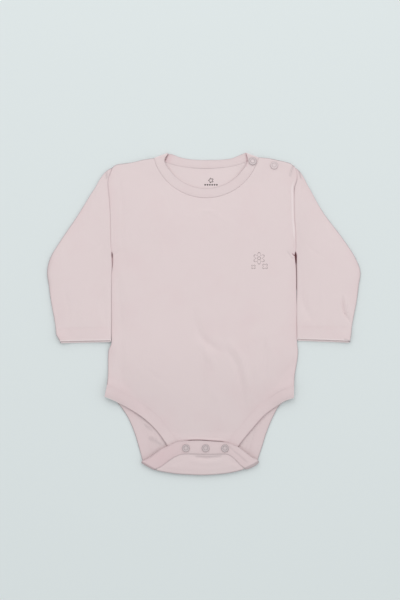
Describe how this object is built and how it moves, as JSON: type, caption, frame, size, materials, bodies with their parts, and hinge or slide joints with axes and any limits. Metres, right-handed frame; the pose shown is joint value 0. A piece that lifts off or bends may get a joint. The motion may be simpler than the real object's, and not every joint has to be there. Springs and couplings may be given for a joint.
{
  "type": "baby bodysuit",
  "caption": "Long-sleeved baby bodysuit laid flat, with a doubled round neckband, a lapped shoulder with ring snaps and a snapped crotch tab.",
  "frame": {"origin": "on the flat underside that rests on the table, at the middle of the outline", "axes": "+X to the viewer's right, which is the wearer's left, +Y up to the neck, +Z off the table and out of the front"},
  "size_m": [0.4008, 0.4132, 0.0072],
  "materials": {
    "interlock": "matte fine cotton knit",
    "band_interlock": "matte fine cotton knit, doubled",
    "snap_enamel": "satin enamel"
  },
  "bodies": {
    "root": {"back_panel": "interlock", "front_panel": "interlock", "sleeve_right": "interlock", "sleeve_left": "interlock", "neckband": "band_interlock", "leg_band_front": "band_interlock", "leg_band_back": "band_interlock", "shoulder_snap_neck": "snap_enamel", "shoulder_snap_arm": "snap_enamel", "crotch_snap_1": "snap_enamel", "crotch_snap_2": "snap_enamel", "crotch_snap_3": "snap_enamel"}
  },
  "joints": []
}
